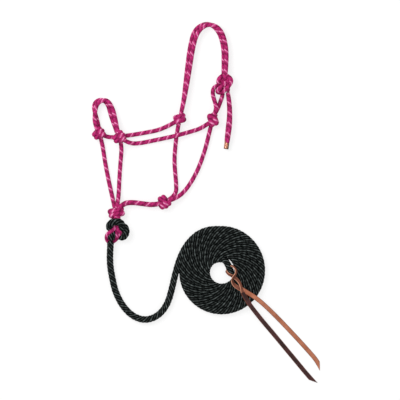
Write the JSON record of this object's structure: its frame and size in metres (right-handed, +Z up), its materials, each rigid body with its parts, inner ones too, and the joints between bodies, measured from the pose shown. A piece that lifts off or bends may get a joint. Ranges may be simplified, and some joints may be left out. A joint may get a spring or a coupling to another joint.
{
  "type": "rope halter with lead rope",
  "caption": "Tied rope halter for a horse, laid flat, with knotted noseband, cheeks, throat and crown, a coiled twisted lead rope hitched to its heel loop and a leather popper.",
  "frame": {"origin": "on the surface it lies on, under the middle of the headpiece (halter without lead coil and popper)", "axes": "+Z up off the surface, +Y from the heel loop under the chin to the crown, +X from the noseband to the throat side"},
  "size_m": [0.4845, 0.7664, 0.0352],
  "materials": {
    "halter_cord": "braided polyester cord, magenta with paler tracers",
    "lead_rope": "black twisted rope with a soft sheen",
    "ferrule": "copper-coloured crimped metal",
    "tan_leather": "tan latigo leather",
    "dark_leather": "dark brown latigo leather"
  },
  "bodies": {
    "halter": {"noseband_under_strand": "halter_cord", "noseband_over_strand": "halter_cord", "near_nose_knot": "halter_cord", "far_nose_knot": "halter_cord", "far_cheek_strand": "halter_cord", "near_cheek_strand": "halter_cord", "far_chin_strand": "halter_cord", "near_chin_strand": "halter_cord", "fiador_knot": "halter_cord", "heel_loop": "halter_cord", "jaw_under_strand": "halter_cord", "jaw_over_strand": "halter_cord", "throat_knot": "halter_cord", "far_throat_strand": "halter_cord", "near_throat_strand": "halter_cord", "far_cheek_knot": "halter_cord", "near_cheek_knot": "halter_cord", "crown_under_strand": "halter_cord", "crown_over_strand": "halter_cord", "eye_loop": "halter_cord", "tie_knot": "halter_cord", "lead_hitch": "lead_rope"},
    "crown_tail": {"tail_under_strand": "halter_cord", "tail_over_strand": "halter_cord", "tail_ferrule": "ferrule"},
    "lead": {"lead_rope": "lead_rope", "lead_coil": "lead_rope", "popper_lace": "tan_leather"},
    "popper": {"popper_twist": "tan_leather", "popper_tan_tail": "tan_leather", "popper_dark_tail": "dark_leather"}
  },
  "joints": [
    {"name": "lead_swing", "type": "hinge", "parent": "halter", "child": "lead", "pos_m": [-0.108, -0.228, 0.016], "axis": [0, 0, 1], "range_deg": [-25, 18]},
    {"name": "tail_swing", "type": "hinge", "parent": "halter", "child": "crown_tail", "pos_m": [0.138, 0.084, 0.008], "axis": [0, 0, 1], "range_deg": [-9, 40]},
    {"name": "popper_swing", "type": "hinge", "parent": "lead", "child": "popper", "pos_m": [0.149, -0.309, 0.018], "axis": [0, 0, 1], "range_deg": [-28, 28]}
  ]
}
